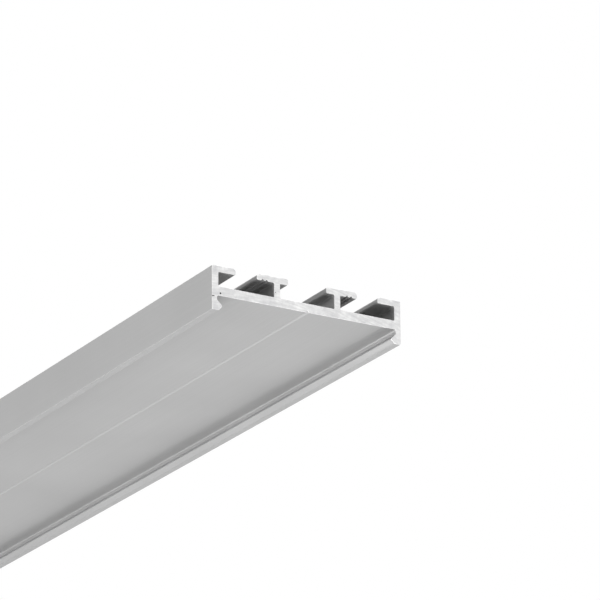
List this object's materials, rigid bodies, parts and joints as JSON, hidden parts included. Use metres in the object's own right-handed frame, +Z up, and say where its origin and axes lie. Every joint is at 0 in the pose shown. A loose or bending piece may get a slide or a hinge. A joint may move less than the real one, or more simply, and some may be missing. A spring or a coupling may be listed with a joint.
{
  "type": "led strip aluminium profile",
  "caption": "Shallow anodised aluminium extrusion for LED tape: two undercut lips hold a clip-in cover below the web, and hooks and T-shaped flanges form slots for clips above it.",
  "frame": {"origin": "under the middle of the bar, on the plane that the two lips stand on", "axes": "+X across the width, +Y along the bar, +Z up from the lips to the mouths of the slots"},
  "size_m": [0.03, 0.175, 0.0064],
  "materials": {
    "anodised_aluminium": "matt natural anodised, with bare saw-cut ends"
  },
  "bodies": {
    "root": {"profile": "anodised_aluminium"}
  },
  "joints": []
}
